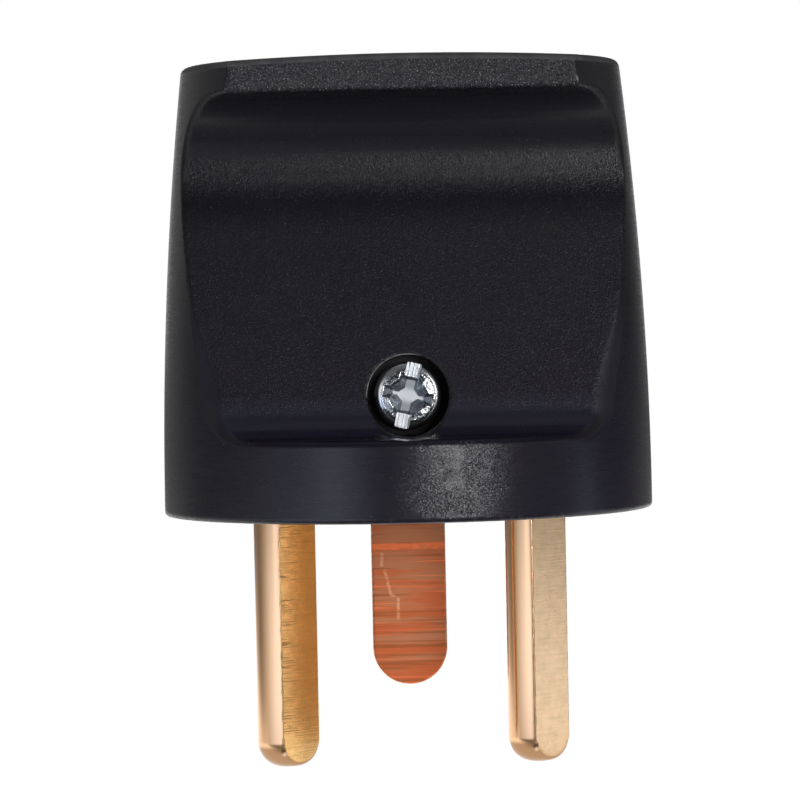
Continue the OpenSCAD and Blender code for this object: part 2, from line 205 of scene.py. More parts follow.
def pin_shape(side):
    """Round pin with two milled flats, their edges a little ragged, with its collar and pillar terminal."""

    def shape(x, y, z):
        flats = pin_flats(x, y, side)
        bead = pin_burr(x, y, z, side, BURR_SUNK) - BURR_R
        x, y = x - side * PIN_X, y - PIN_Y
        radius = np.hypot(x, y)
        burr = 0.045 + 0.03 * uneven(z, 2 + side) + 0.2 * step(z, -17.0, -17.8)
        shank = rounded(radius - PIN_R, -z - PIN_LEN, TIP_R)
        shank = rounded(-rounded(-shank, -bead, 0.12), flats, burr)
        body = np.maximum(shank, z - COLLAR_TOP + 0.2)
        body = np.minimum(body, np.maximum(radius - COLLAR_R, slab(z, DISC_T, COLLAR_TOP)))
        body = np.minimum(body, rounded(radius - TERMINAL_R, slab(z, COLLAR_TOP - 0.5, TERMINAL_TOP), 0.15))
        wire = np.maximum(radius - WIRE_R, RETAINER_TOP - z)
        thread = np.maximum(np.hypot(y, z - TERMINAL_Z) - THREAD_R, -side * x)
        return np.maximum(body, -np.minimum(wire, thread))

    return shape


def earth_shape(x, y, z):
    """Half-round pin with its terminal block."""
    low = np.minimum(z + EARTH_LEN - EARTH_R, 0)
    back = y - EARTH_Y
    edge = 0.16 + 0.05 * uneven(z + x, 5)
    shank = np.maximum(rounded(np.sqrt(x * x + back * back + low * low) - EARTH_R, -back, edge), z - DISC_T)
    key = shared(np.abs(x) - 0.8 * EARTH_R, slab(back, 0, KEY_D), slab(z, DISC_T - 1, COLLAR_TOP))
    foot = shared(np.abs(x) - BLOCK_X - TREAD, slab(y, BLOCK_Y0, EARTH_Y + KEY_D), slab(z, DISC_T, COLLAR_TOP))
    block = shared(np.abs(x) - BLOCK_X, slab(y, BLOCK_Y0, BLOCK_Y1), slab(z, DISC_T, BLOCK_TOP))
    middle = y - (BLOCK_Y0 + BLOCK_Y1) / 2
    wire = np.maximum(np.hypot(x, middle) - WIRE_R, RETAINER_TOP - z)
    thread = np.maximum(np.hypot(middle, z - BLOCK_TOP + 2.2) - THREAD_R, -x)
    body = np.minimum(np.minimum(shank, key), np.minimum(foot, block))
    return np.maximum(body, -np.minimum(wire, thread))


def screw_axes(x, y, z):
    """Places along the slot, across it and below the top of the head."""
    up = z - SCREW_Z
    along = x * math.sin(SLOT_TURN) + up * math.cos(SLOT_TURN)
    across = x * math.cos(SLOT_TURN) - up * math.sin(SLOT_TURN)
    return along, across, y - SEAT_Y + REST + HEAD_H


def screw_shape(x, y, z):
    """Crowned head with a slot right across and a tapered cross recess, on a plain shank."""
    u, v, w = screw_axes(x, y, z)
    radius = np.hypot(u, v)
    crown = np.sqrt(radius ** 2 + (w - CROWN_R) ** 2) - CROWN_R
    head = np.maximum(rounded(radius - HEAD_R, crown, 0.42), w - HEAD_H)
    head = rounded(head, -np.maximum(np.abs(v) - SLOT_W / 2, w - SLOT_D), 0.05)
    u, v = np.abs(u), np.abs(v)
    wing = 0.44 - 0.27 * w
    upright = np.maximum(v - 0.9 + 0.47 * w, u - 1.6 + 0.35 * w)
    arms = np.minimum(np.maximum(u - wing, v - 1.98 + 0.68 * w), upright)
    middle = (u + v - 2.0 + 0.95 * w) * HALF_ROOT
    recess = np.maximum(np.minimum(arms, middle), w - RECESS_D)
    head = rounded(head, -recess, 0.09)
    shank = shared(radius - SCREW_R, HEAD_H - 0.3 - w, y - SCREW_END)
    return np.minimum(head, shank)


def line_distance(px, pz, line):
    """Distance to a line through points."""
    best = np.full(np.shape(px), 1e9)
    for (ax, az), (bx, bz) in zip(line, line[1:]):
        ex, ez = bx - ax, bz - az
        t = np.clip(((px - ax) * ex + (pz - az) * ez) / (ex * ex + ez * ez), 0, 1)
        best = np.minimum(best, np.hypot(px - ax - t * ex, pz - az - t * ez))
    return best


def gradient(shape, p, h=0.004):
    """Slope of a shape at points."""
    g = np.empty_like(p)
    for a in range(3):
        d = np.zeros(3)
        d[a] = h
        g[:, a] = (shape(*(p + d).T) - shape(*(p - d).T)) / (2 * h)
    return g


def normals(shape, p):
    """Unit normals of a shape at points."""
    g = gradient(shape, p)
    return g / np.maximum(np.linalg.norm(g, axis=1), TINY)[:, None]


def spaced(*stops):
    """Grid lines from stop to stop: place, then the spacing up to the next place."""
    out = [np.array([stops[0]])]
    for a, gap, b in zip(stops[0::2], stops[1::2], stops[2::2]):
        out.append(np.linspace(a, b, max(1, round((b - a) / gap)) + 1)[1:])
    return np.concatenate(out)


def laid(values, a):
    """Values laid along one axis of three."""
    return values.reshape([-1 if k == a else 1 for k in range(3)])


def surface(shape, xs, ys, zs, rounds=5):
    """Points and four-sided faces of the surface where shape is zero: a point in each cell that it crosses."""
    axes = (xs, ys, zs)
    v = shape(*(laid(values, a) for a, values in enumerate(axes)))
    v = np.broadcast_to(v, [len(values) for values in axes])
    inside = v < 0
    cells = tuple(n - 1 for n in v.shape)
    total, count = np.zeros(cells + (3,)), np.zeros(cells)
    for a in range(3):
        lo = [slice(None)] * 3
        hi = [slice(None)] * 3
        lo[a], hi[a] = slice(0, -1), slice(1, None)
        v0, v1 = v[tuple(lo)], v[tuple(hi)]
        cross = inside[tuple(lo)] != inside[tuple(hi)]
        t = np.where(cross, v0 / np.where(cross, v0 - v1, 1), 0)
        b, c = [k for k in range(3) if k != a]
        along, gap = laid(axes[a][:-1], a), laid(np.diff(axes[a]), a)
        for db in (0, 1):
            for dc in (0, 1):
                s = [slice(None)] * 3
                s[b] = slice(db, db + cells[b])
                s[c] = slice(dc, dc + cells[c])
                s = tuple(s)
                m = cross[s]
                count += m
                total[..., a] += m * (along + t[s] * gap)
                for k, dk in ((b, db), (c, dc)):
                    total[..., k] += m * laid(axes[k][dk : dk + cells[k]], k)
    where = count > 0
    index = np.full(cells, -1)
    index[where] = np.arange(where.sum())
    p = total[where] / count[where][:, None]
    at = np.argwhere(where)
    low = np.stack([axes[k][at[:, k]] for k in range(3)], 1)
    high = np.stack([axes[k][at[:, k] + 1] for k in range(3)], 1)
    slack = 0.15 * (high - low)
    for _ in range(rounds):
        g = gradient(shape, p)
        f = shape(*p.T)
        p = p - (0.9 * f / np.maximum((g * g).sum(1), 0.25))[:, None] * g
        p = np.clip(p, low - slack, high + slack)
    faces = []
    for a in range(3):
        b, c = (a + 1) % 3, (a + 2) % 3
        lo = [slice(1, -1)] * 3
        hi = [slice(1, -1)] * 3
        lo[a], hi[a] = slice(0, -1), slice(1, None)
        i0, i1 = inside[tuple(lo)], inside[tuple(hi)]
        where = np.argwhere(i0 != i1)
        where[:, [b, c]] += 1
        out = i0[i0 != i1]
        corner = []
        for db, dc in ((-1, -1), (0, -1), (0, 0), (-1, 0)):
            q = where.copy()
            q[:, b] += db
            q[:, c] += dc
            corner.append(index[tuple(q.T)])
        quad = np.stack(corner, 1)
        faces.append(np.where(out[:, None], quad, quad[:, ::-1]))
    return p, np.concatenate(faces)


def piece(name, points, faces, shape):
    """A mesh object from points in millimetres, shaded with the shape's own normals."""
    mesh = bpy.data.meshes.new(name)
    mesh.vertices.add(len(points))
    mesh.vertices.foreach_set("co", (points * MM).astype(np.float32).ravel())
    mesh.loops.add(faces.size)
    mesh.loops.foreach_set("vertex_index", faces.astype(np.int32).ravel())
    mesh.polygons.add(len(faces))
    mesh.polygons.foreach_set("loop_start", np.arange(0, faces.size, 4, dtype=np.int32))
    mesh.update(calc_edges=True)
    mesh.validate()
    mesh.polygons.foreach_set("use_smooth", np.ones(len(mesh.polygons), bool))
    mesh.normals_split_custom_set_from_vertices(normals(shape, points))
    obj = bpy.data.objects.new(name, mesh)
    bpy.context.scene.collection.objects.link(obj)
    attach(obj, "root")
    return obj


def mark(obj, **zones):
    """Numbers kept at each point, for the material."""
    for name, values in zones.items():
        obj.data.attributes.new(name, "FLOAT", "POINT").data.foreach_set("value", values.astype(np.float32))


class Nodes:
    """The node tree of a material or of the world, with short calls for the nodes used here."""

    def __init__(self, owner, shader):
        owner.use_nodes = True
        self.owner = owner
        self.tree = owner.node_tree
        self.shader = self.tree.nodes[shader]

    def add(self, kind, **settings):
        node = self.tree.nodes.new("ShaderNode" + kind)
        for key, value in settings.items():
            setattr(node, key, value)
        return node

    def link(self, a, b):
        self.tree.links.new(a, b)

    def put(self, socket, value):
        if hasattr(value, "links"):
            self.link(value, socket)
        else:
            socket.default_value = value

    def fill(self, sockets, values):
        for socket, value in zip(sockets, values):
            self.put(socket, value)

    def place(self, stretch=(1, 1, 1)):
        """Position in millimetres, stretched."""
        at = self.add("TexCoord").outputs["Object"]
        node = self.add("Mapping")
        node.inputs["Scale"].default_value = [s / MM for s in stretch]
        self.link(at, node.inputs["Vector"])
        return node.outputs["Vector"]

    def noise(self, scale, stretch=(1, 1, 1), detail=2.0, rough=0.5):
        node = self.add("TexNoise")
        self.link(self.place(stretch), node.inputs["Vector"])
        for key, value in (("Scale", scale), ("Detail", detail), ("Roughness", rough)):
            node.inputs[key].default_value = value
        return node.outputs["Fac"]

    def lines(self, name, scale):
        """Noise along a number kept at each point."""
        node = self.add("TexNoise", noise_dimensions="1D")
        self.link(self.attribute(name), node.inputs["W"])
        for key, value in (("Scale", scale), ("Detail", 2.0)):
            node.inputs[key].default_value = value
        return node.outputs["Fac"]

    def axis(self, name):
        """Place along one axis in millimetres."""
        node = self.add("SeparateXYZ")
        self.link(self.place(), node.inputs[0])
        return node.outputs[name]

    def far(self, *parts):
        """Length of a vector given by its parts."""
        total = self.math("MULTIPLY", parts[0], parts[0])
        for part in parts[1:]:
            total = self.math("MULTIPLY_ADD", part, part, total)
        return self.math("SQRT", total)

    def cells(self, scale, out="Distance"):
        node = self.add("TexVoronoi")
        self.link(self.place(), node.inputs["Vector"])
        node.inputs["Scale"].default_value = scale
        return node.outputs[out]

    def math(self, kind, a, b=0.5, c=0.0):
        node = self.add("Math", operation=kind)
        self.fill(node.inputs, (a, b, c))
        return node.outputs[0]

    def times(self, *values):
        """Product of the values."""
        return functools.reduce(functools.partial(self.math, "MULTIPLY"), values)

    def most(self, *values):
        """Largest of the values."""
        return functools.reduce(functools.partial(self.math, "MAXIMUM"), values)

    def span(self, value, lo, hi, to_lo=0.0, to_hi=1.0):
        """Smooth step of a value from one range to another."""
        node = self.add("MapRange", interpolation_type="SMOOTHSTEP")
        self.fill(node.inputs, (value, lo, hi, to_lo, to_hi))
        return node.outputs[0]

    def mix(self, fac, a, b):
        """Colour between two colours."""
        node = self.add("Mix", data_type="RGBA")
        self.fill([node.inputs[k] for k in (0, 6, 7)], (fac, a, b))
        return node.outputs[2]

    def blend(self, fac, a, b):
        """Number between two numbers."""
        node = self.add("Mix", data_type="FLOAT")
        self.fill([node.inputs[k] for k in (0, 2, 3)], (fac, a, b))
        return node.outputs[0]

    def attribute(self, name):
        return self.add("Attribute", attribute_name=name).outputs["Fac"]

    def bump(self, height, distance, normal=None):
        node = self.add("Bump")
        node.inputs["Strength"].default_value = 1.0
        node.inputs["Distance"].default_value = distance * MM
        self.link(height, node.inputs["Height"])
        if normal is not None:
            self.link(normal, node.inputs["Normal"])
        return node.outputs["Normal"]

    def facets(self, scale, tilt):
        """Normal that leans a little another way in each small cell, as a moulded grain does."""
        lean = self.add("VectorMath", operation="SUBTRACT")
        self.link(self.cells(scale, "Color"), lean.inputs[0])
        lean.inputs[1].default_value = (0.5, 0.5, 0.5)
        size = self.add("VectorMath", operation="SCALE")
        self.link(lean.outputs[0], size.inputs[0])
        self.put(size.inputs["Scale"], tilt)
        total = self.add("VectorMath", operation="ADD")
        self.link(self.add("NewGeometry").outputs["Normal"], total.inputs[0])
        self.link(size.outputs[0], total.inputs[1])
        unit = self.add("VectorMath", operation="NORMALIZE")
        self.link(total.outputs[0], unit.inputs[0])
        return unit.outputs[0]

    def finish(self, **inputs):
        """Set or link the shader's own sockets."""
        for key, value in inputs.items():
            self.put(self.shader.inputs[key.replace("_", " ")], value)
        return self.owner


def material(name):
    return Nodes(bpy.data.materials.new(name), "Principled BSDF")


def wear(obj, look):
    obj.data.materials.clear()
    obj.data.materials.append(look)


# Camera, fitted to the photograph
CAMERA_AT = (-3.92, -311.348, 17.420)
FOCAL_PX, PICTURE_PX, SENSOR = 4056.77, 800, 36.0
PITCH, YAW, ROLL = (math.radians(a) for a in (1.65, -0.63, -1.18))
camera = bpy.data.objects.new("camera", bpy.data.cameras.new("camera"))
bpy.context.scene.collection.objects.link(camera)
back = Vector((math.sin(YAW) * math.cos(PITCH), -math.cos(YAW) * math.cos(PITCH), math.sin(PITCH)))
right = (-back).cross(Vector((0, 0, 1))).normalized()
up = right.cross(-back)
right, up = (math.cos(ROLL) * right + math.sin(ROLL) * up, -math.sin(ROLL) * right + math.cos(ROLL) * up)
turn = Matrix((right, up, back)).transposed().to_4x4()
camera.matrix_world = Matrix.Translation(Vector(CAMERA_AT) * MM) @ turn
camera.data.sensor_width = SENSOR
camera.data.lens = FOCAL_PX * SENSOR / PICTURE_PX
camera.data.clip_start, camera.data.clip_end = 0.01, 20.0
bpy.context.scene.camera = camera

# Cover
xs = spaced(-19.1, 0.3, -9, 0.5, -3.6, 0.22, 3.6, 0.5, 9, 0.3, 19.1)
ys = spaced(-19.1, 0.32, -13, 0.25, -4.6, 0.55, 4.6, 0.34, 19.1)
zs = spaced(-0.45, 0.2, 1.15, 0.45, 5.2, 0.22, 12.6, 0.55, 24, 0.32, 28, 0.24, 35.2)
points, faces = surface(cover_shape, xs, ys, zs)
cover = piece("cover_shell", points, faces, cover_shape)
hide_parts("cover")
x, y, z = points.T
side, dome, grip = cover_faces(x, y, z)
turned = np.degrees(np.arctan2(x, -y))
up_facing = normals(cover_shape, points)[:, 2]
on_grip = step(grip, -0.1, -0.03)
on_rim = step(side, -0.3, -0.05)
past_edge = np.maximum(-side, -grip)
hole_edge = SINK_R + 0.25 * step(z, 7.0, 6.4)
foot_end = step(np.abs(x), 10.5, 12.5) * step(z, 9.5, 8.0) * step(z, 5.5, 6.0)
# Masks kept at each point; those under the lip, on the edge between cove and side, on the foot, at the foot's ends, on
# the crest and in the screw hole carry painted light and shade
mark(
    cover,
    grain=on_grip * step(side, -0.05, -0.16) * step(z, 7.2, 8.6),
    lip=step(z, LIP_Z - 0.4, LIP_Z),
    cove=step(z, 25.8, 29.2) * step(z, LIP_Z, LIP_Z - 0.5),
    under=step(z, 28.4, 30.0) * step(z, LIP_Z + 0.1, LIP_Z - 0.3) * on_grip,
    band=step(z, 21.0, 24.0) * step(z, 29.5, 26.5),
    foot=on_grip * step(z, 9.4, 8.0) * step(z, RING_H - 0.05, RING_H + 0.15),
    foot_end=foot_end * step(up_facing, 0.1, 0.4) * step(grip, -0.03, -0.12),
    edge=hump(past_edge, 0, 0.25) * step(z, 25, 27) * step(z, LIP_Z + 0.3, LIP_Z - 0.2),
    blunt=step(past_edge, 1.0, 0.5) * step(z, 17, 12) * step(z, 6.2, 8),
    matt=step(turned, 36, 50) * step(turned, 68, 62) * step(z, 7.5, 6.0),
    rubbed=hump(turned, 10.5, 11) * step(z, 6.2, 5.6) * step(z, 0.2, 0.9),
    rim=np.maximum(hump(turned, -80, 9) * step(z, 3.4, 1.2) * on_rim, 0.8 * on_rim * step(z, 0.5, 0.1)),
    crest=step(dome, -1.2, -0.9) * step(np.maximum(side, grip), -0.9, -0.3),
    hole=step(np.hypot(x, z - SCREW_Z), hole_edge + 0.1, hole_edge + 0.02)
    * step(y, FACE_Y - 3.9, FACE_Y - 3.4) * step(y, 0, -1),
)


def black_moulding():
    n = material("black_moulding")
    lip, cove, band = n.attribute("lip"), n.attribute("cove"), n.attribute("band")
    across, back, height = n.axis("X"), n.axis("Y"), n.axis("Z")
    pits = n.noise(9.0, detail=1.5, rough=0.6)
    fine = n.noise(8.0, detail=2.0, rough=0.6)
    scuffs = n.noise(1.0, stretch=(0.35, 0.35, 4.0), detail=4.0, rough=0.6)
    cloud = n.span(n.noise(0.16, detail=3.0), 0.35, 0.65)
    patchy = n.noise(0.55, detail=4.0, rough=0.6)
    # Smooth strip round the top, above the grain, which also carries a painted highlight
    from_centre = n.far(across, back, n.math("ADD", height, DOME_R - COVER_H))
    crest = n.times(n.attribute("crest"), n.span(from_centre, DOME_R - 0.5, DOME_R - 0.4))
    grain = n.times(n.attribute("grain"), n.math("SUBTRACT", 1.0, crest))
    rubbed = n.times(n.attribute("rubbed"), n.span(patchy, 0.38, 0.58, 0.25, 1.1))
    # Black, bluer below, with lighter and darker clouds, then painted light and shade in single places
    upper = n.mix(cloud, (0.0064, 0.0055, 0.0106, 1), (0.0080, 0.0070, 0.0126, 1))
    lower = n.mix(cloud, (0.0068, 0.0042, 0.0135, 1), (0.0084, 0.0053, 0.0165, 1))
    colour = n.mix(n.span(height, 22.0, 7.0), upper, lower)
    # Painted light: lighter just under the lip
    colour = n.mix(n.attribute("under"), colour, (0.021, 0.020, 0.026, 1))
    # Painted shade: near black on the edge between the cove and the side
    colour = n.mix(n.attribute("edge"), colour, (0.002, 0.002, 0.0024, 1))
    # Painted light: lighter and bluer on the foot cove, which faces up
    colour = n.mix(n.attribute("foot"), colour, (0.017, 0.016, 0.033, 1))
    # Painted light: lighter where the ends of the foot face up
    colour = n.mix(n.attribute("foot_end"), colour, (0.019, 0.017, 0.024, 1))
    # Painted shade: near black inside the screw hole
    colour = n.mix(n.times(n.attribute("hole"), 0.8), colour, (0.001, 0.001, 0.0012, 1))
    # Edges worn lighter, and specks of dust
    worn = n.times(n.attribute("rim"), n.span(n.noise(2.6, detail=3.0, rough=0.65), 0.50, 0.66))
    dust = n.span(n.cells(0.8), 0.075, 0.04)
    colour = n.mix(n.most(worn, n.times(dust, 0.8)), colour, (0.045, 0.0445, 0.046, 1))
    # Painted light: the smooth strip round the top made much lighter, in patches
    colour = n.mix(n.times(crest, n.span(patchy, 0.3, 0.7, 0.5, 0.95)), colour, (0.10, 0.0985, 0.104, 1))
    # Painted glints: pale specks on the rubbed patch of the ring, on the lip and the band and, faintly, on all the
    # grain
    painted_glints = n.most(
        n.times(rubbed, rubbed, n.span(fine, 0.55, 0.68)),
        n.times(grain, lip, n.span(fine, 0.58, 0.70)),
        n.times(grain, band, n.span(fine, 0.66, 0.75, 0.0, 0.4)),
        n.times(grain, n.span(fine, 0.63, 0.75, 0.0, 0.12)),
    )
    colour = n.mix(painted_glints, colour, (0.30, 0.295, 0.31, 1))
    # Painted highlight: a thin light line on the upper left edge of the screw hole
    rise = n.math("SUBTRACT", height, SCREW_Z)
    burr = n.span(n.math("ABSOLUTE", n.math("SUBTRACT", n.far(across, rise), SINK_R + 0.04)), 0.05, 0.02)
    burr = n.times(burr, n.span(rise, -0.2, 0.3), n.span(across, 1.2, 0.0), n.span(back, -8.0, -9.0))
    colour = n.mix(burr, colour, (0.45, 0.44, 0.43, 1))
    # Roughness of the grained and the smooth faces, then of single places
    rough_grain = n.blend(band, n.blend(pits, 0.34, 0.43), n.blend(pits, 0.25, 0.30))
    rough_grain = n.blend(lip, rough_grain, n.blend(pits, 0.38, 0.48))
    rough_grain = n.blend(cove, rough_grain, 0.26)
    rough_smooth = n.blend(rubbed, n.blend(n.span(scuffs, 0.35, 0.7), 0.26, 0.32), 0.36)
    rough = n.blend(grain, rough_smooth, rough_grain)
    rough = n.blend(n.most(worn, crest), rough, 0.55)
    for zone, level in (("hole", 0.7), ("edge", 0.9), ("blunt", 0.45)):
        rough = n.blend(n.attribute(zone), rough, level)
    # Lean of the grain's facets, depth of its pits, and shine
    tilt_grain = n.blend(band, 0.15, n.span(patchy, 0.3, 0.7, 0.06, 0.12))
    tilt_grain = n.blend(lip, n.blend(cove, tilt_grain, 0.05), 0.58)
    tilt = n.blend(grain, n.blend(rubbed, 0.03, 0.40), tilt_grain)
    depth = n.blend(grain, 0.1, n.blend(cove, 0.35, 0.1))
    normal = n.bump(n.times(pits, depth), 0.08, normal=n.facets(14.0, tilt))
    shine = n.blend(n.most(n.attribute("matt"), n.times(grain, band)), 0.5, 0.37)
    return n.finish(Base_Color=colour, Roughness=rough, Specular_IOR_Level=shine, Normal=normal)


wear(cover, black_moulding())


def black_insert():
    n = material("black_insert")
    cloud = n.noise(0.5, detail=4.0)
    colour = n.mix(cloud, (0.012, 0.0118, 0.014, 1), (0.02, 0.0195, 0.022, 1))
    fine = n.noise(6.0, detail=3.0)
    return n.finish(Base_Color=colour, Roughness=n.blend(fine, 0.35, 0.6), Normal=n.bump(fine, 0.03))


def zinc_steel():
    n = material("zinc_steel")
    cloud = n.noise(1.5, detail=5.0, rough=0.6)
    colour = n.mix(cloud, (0.55, 0.56, 0.58, 1), (0.78, 0.79, 0.80, 1))
    rough = n.blend(cloud, 0.15, 0.38)
    return n.finish(Base_Color=colour, Metallic=1.0, Roughness=rough, Normal=n.bump(cloud, 0.03))


solid_looks = {"black_insert": black_insert(), "zinc_steel": zinc_steel()}
for entry in frame["record"]["subparts"]:
    if entry["material_slot"] in solid_looks:
        wear(nodes[entry["node"]], solid_looks[entry["material_slot"]])


# Line and neutral pins
def brass(name, inner, outer, chatter_level, line_depth):
    """Polished round with milled flats, their colour given at the inner and the outer edge as a painted reflection
    that differs from pin to pin.
    """
    n = material(name)
    cloud = n.noise(0.4, detail=4.0)
    blotch = n.noise(1.1, detail=4.0, rough=0.6)
    flat = n.span(n.math("MULTIPLY_ADD", n.noise(5.0), 0.5, n.attribute("milled")), 0.65, 0.85)
    past = n.attribute("past")
    plain = n.mix(cloud, (0.88, 0.52, 0.28, 1), (0.93, 0.59, 0.35, 1))
    # Painted shade: the rounded tip coloured dark brown
    plain = n.mix(n.attribute("tip"), plain, (0.42, 0.24, 0.125, 1))
    # Painted reflection on the flats, running from the inner to the outer edge
    milled = n.mix(past, inner, outer)
    milled = n.mix(n.span(blotch, 0.35, 0.7, 0.0, 0.35), milled, [0.7 * v for v in outer[:3]] + [1])
    marks = n.noise(1.0, stretch=(0.3, 0.3, 14.0), detail=2.0, rough=0.6)
    chatter = n.span(n.noise(1.0, stretch=(0.34, 0.34, 8.5), detail=1.5), 0.55, 0.64)
    chatter = n.times(chatter, n.span(past, 0.75, 0.35, 0.25 * chatter_level, chatter_level))
    pit = n.span(n.cells(1.3), 0.09, 0.05)
    dark = n.times(flat, n.most(chatter, pit))
    colour = n.mix(dark, n.mix(flat, plain, milled), (0.47, 0.25, 0.09, 1))
    # Painted glint: the burr at the tip paler than the brass around it
    colour = n.mix(n.attribute("bead"), colour, (0.95, 0.74, 0.50, 1))
    rough = n.blend(flat, n.blend(cloud, 0.14, 0.20), n.blend(marks, 0.17, 0.27))
    rough = n.blend(n.attribute("bead"), rough, 0.5)
    height = n.times(marks, n.blend(flat, 0.06, 1.0))
    return n.finish(Base_Color=colour, Metallic=1.0, Roughness=rough, Normal=n.bump(height, line_depth))


# Each pin's brass, with its own painted reflection on the flats
pin_brasses = {
    "line_pin": brass("brass_line", (0.99, 0.585, 0.215, 1), (0.67, 0.39, 0.145, 1), 0.9, 0.008),
    "neutral_pin": brass("brass_neutral", (0.66, 0.42, 0.222, 1), (0.66, 0.42, 0.222, 1), 0.15, 0.002),
}
for side, node in ((-1, "line_pin"), (1, "neutral_pin")):
    across = spaced(-3.62, 0.2, -2.5, 0.09, 2.5, 0.2, 3.62)
    points, faces = surface(pin_shape(side), across + side * PIN_X, across + PIN_Y,
                            spaced(-19.25, 0.1, -16.4, 0.18, 0.3, 0.3, 13.95))
    pin = piece(node + "_turned", points, faces, pin_shape(side))
    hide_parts(node)
    x, y, z = points.T
    # past runs across the flats; tip and bead carry painted shade and a painted glint
    mark(
        pin,
        milled=step(pin_flats(x, y, side), -0.03, -0.01) * step(z, DISC_T, DISC_T - 0.3),
        past=step((x - side * PIN_X + y - PIN_Y) * HALF_ROOT, -1.5, 0.9),
        tip=step(z, -17.25, -17.6),
        bead=step(pin_burr(x, y, z, side, 0.0), 0.22, 0.08),
    )
    wear(pin, pin_brasses[node])

# Earth pin
points, faces = surface(earth_shape, spaced(-4.2, 0.3, -3.1, 0.11, 3.1, 0.3, 4.2),
                        spaced(2.55, 0.3, 7.35, 0.1, 8.3, 0.25, 10.95), spaced(-14.45, 0.12, 0.3, 0.3, 14.15))
earth = piece("earth_pin_drawn", points, faces, earth_shape)
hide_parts("earth_pin")
x, y, z = points.T
strokes = ([(-2.08, -3.9), (-2.14, -4.8)], [(-1.9, -5.2), (-1.75, -5.8), (-1.41, -7.2), (-1.2, -7.15)],
           [(-0.87, -7.4), (-0.92, -9.0)])
scratch = np.max([step(line_distance(x, z, stroke), 0.14, 0.04) for stroke in strokes], axis=0)
on_front = step(y, EARTH_Y + 0.06, EARTH_Y + 0.02)
mark(earth, front=on_front * step(z, DISC_T, DISC_T - 0.3), scratch=scratch * on_front)


def copper_alloy():
    n = material("copper_alloy")
    front, height = n.attribute("front"), n.axis("Z")
    streak = n.noise(1.0, stretch=(0.07, 0.5, 3.0), detail=4.0, rough=0.55)
    patch = n.noise(1.0, stretch=(0.12, 0.5, 1.0), detail=4.0, rough=0.6)
    fleck = n.noise(3.0, stretch=(0.5, 1.0, 1.2), detail=2.0)
    redder = n.math("MULTIPLY_ADD", n.math("ADD", height, 7.0), -0.012, patch)
    colour = n.mix(n.span(redder, 0.42, 0.60), (0.57, 0.225, 0.112, 1), (0.64, 0.16, 0.062, 1))
    colour = n.mix(n.span(streak, 0.47, 0.35, 0.0, 0.75), colour, (0.39, 0.12, 0.042, 1))
    colour = n.mix(n.span(streak, 0.56, 0.66, 0.0, 0.9), colour, (0.95, 0.26, 0.10, 1))
    band = n.math("ABSOLUTE", n.math("ADD", n.math("MULTIPLY_ADD", patch, 0.5, height), 3.05))
    band = n.times(n.span(band, 0.34, 0.18), n.span(fleck, 0.3, 0.6, 0.5, 0.95))
    colour = n.mix(band, colour, (0.98, 0.25, 0.095, 1))
    scratch = n.times(n.attribute("scratch"), n.span(fleck, 0.34, 0.6, 0.2, 0.8))
    colour = n.mix(scratch, colour, (0.88, 0.47, 0.28, 1))
    colour = n.mix(front, (0.66, 0.42, 0.27, 1), colour)
    rough = n.blend(front, n.blend(streak, 0.25, 0.4), n.blend(streak, 0.42, 0.58))
    return n.finish(Base_Color=colour, Metallic=1.0, Roughness=rough, Normal=n.bump(streak, 0.02))


wear(earth, copper_alloy())

# Cover screw
around = spaced(-2.72, 0.06, 2.72)
points, faces = surface(screw_shape, around, spaced(-10.6, 0.05, -8.3, 0.3, -1.6), around + SCREW_Z)
screw = piece("cover_screw_head", points, faces, screw_shape)
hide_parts("cover_screw")
along, across, below = screw_axes(*points.T)
facing = -normals(screw_shape, points)[:, 1]
from_axis = np.hypot(along, across)
# Masks kept at each point; walls and floor carry painted shade in the cross recess
mark(
    screw,
    along=along,
    across=across,
    crown=step(below, 0.5, 0.35) * step(from_axis, 2.15, 1.85),
    upper=step(along, -0.3, 1.0),
    floor=step(np.abs(below - RECESS_D), 0.08, 0.03),
    walls=step(below, 0.22, 0.36) * step(facing, 0.95, 0.8) * step(from_axis, 2.2, 2.0),
    slot=step(np.abs(below - SLOT_D), 0.08, 0.04) * step(np.abs(across), SLOT_W / 2 + 0.05, SLOT_W / 2 - 0.02),
)


def zinc_head():
    n = material("zinc_head")
    slot, crown = n.attribute("slot"), n.attribute("crown")
    cloud = n.noise(1.6, detail=4.0, rough=0.6)
    colour = n.mix(cloud, (0.60, 0.63, 0.67, 1), (0.82, 0.845, 0.89, 1))
    brushed = n.lines("across", 13.0)
    colour = n.mix(n.times(slot, n.span(brushed, 0.52, 0.40)), colour, (0.30, 0.31, 0.33, 1))
    dents = n.noise(1.9, detail=3.0, rough=0.6)
    # Darker patches on the top of the head, more of them on its upper half
    dark_patches = n.math("MULTIPLY_ADD", n.attribute("upper"), -0.13, n.noise(2.8, detail=3.0, rough=0.65))
    colour = n.mix(n.times(crown, n.span(dark_patches, 0.44, 0.36)), colour, (0.14, 0.147, 0.16, 1))
    # Painted shade in the cross recess: its walls darker, and its floor darker towards the ends of the arms than in
    # the middle
    colour = n.mix(n.attribute("walls"), colour, (0.46, 0.49, 0.53, 1))
    tips = n.span(n.math("ABSOLUTE", n.attribute("along")), 0.15, 0.75)
    bottom = n.mix(tips, (0.70, 0.73, 0.77, 1), (0.34, 0.365, 0.395, 1))
    colour = n.mix(n.attribute("floor"), colour, bottom)
    rough = n.blend(slot, n.blend(cloud, 0.16, 0.30), n.blend(brushed, 0.22, 0.36))
    rough = n.blend(n.attribute("floor"), rough, 0.42)
    normal = n.bump(n.times(dents, n.blend(crown, 0.12, 1.0)), 0.085)
    return n.finish(Base_Color=colour, Metallic=1.0, Roughness=rough,
                    Normal=n.bump(n.times(brushed, slot), 0.035, normal=normal))


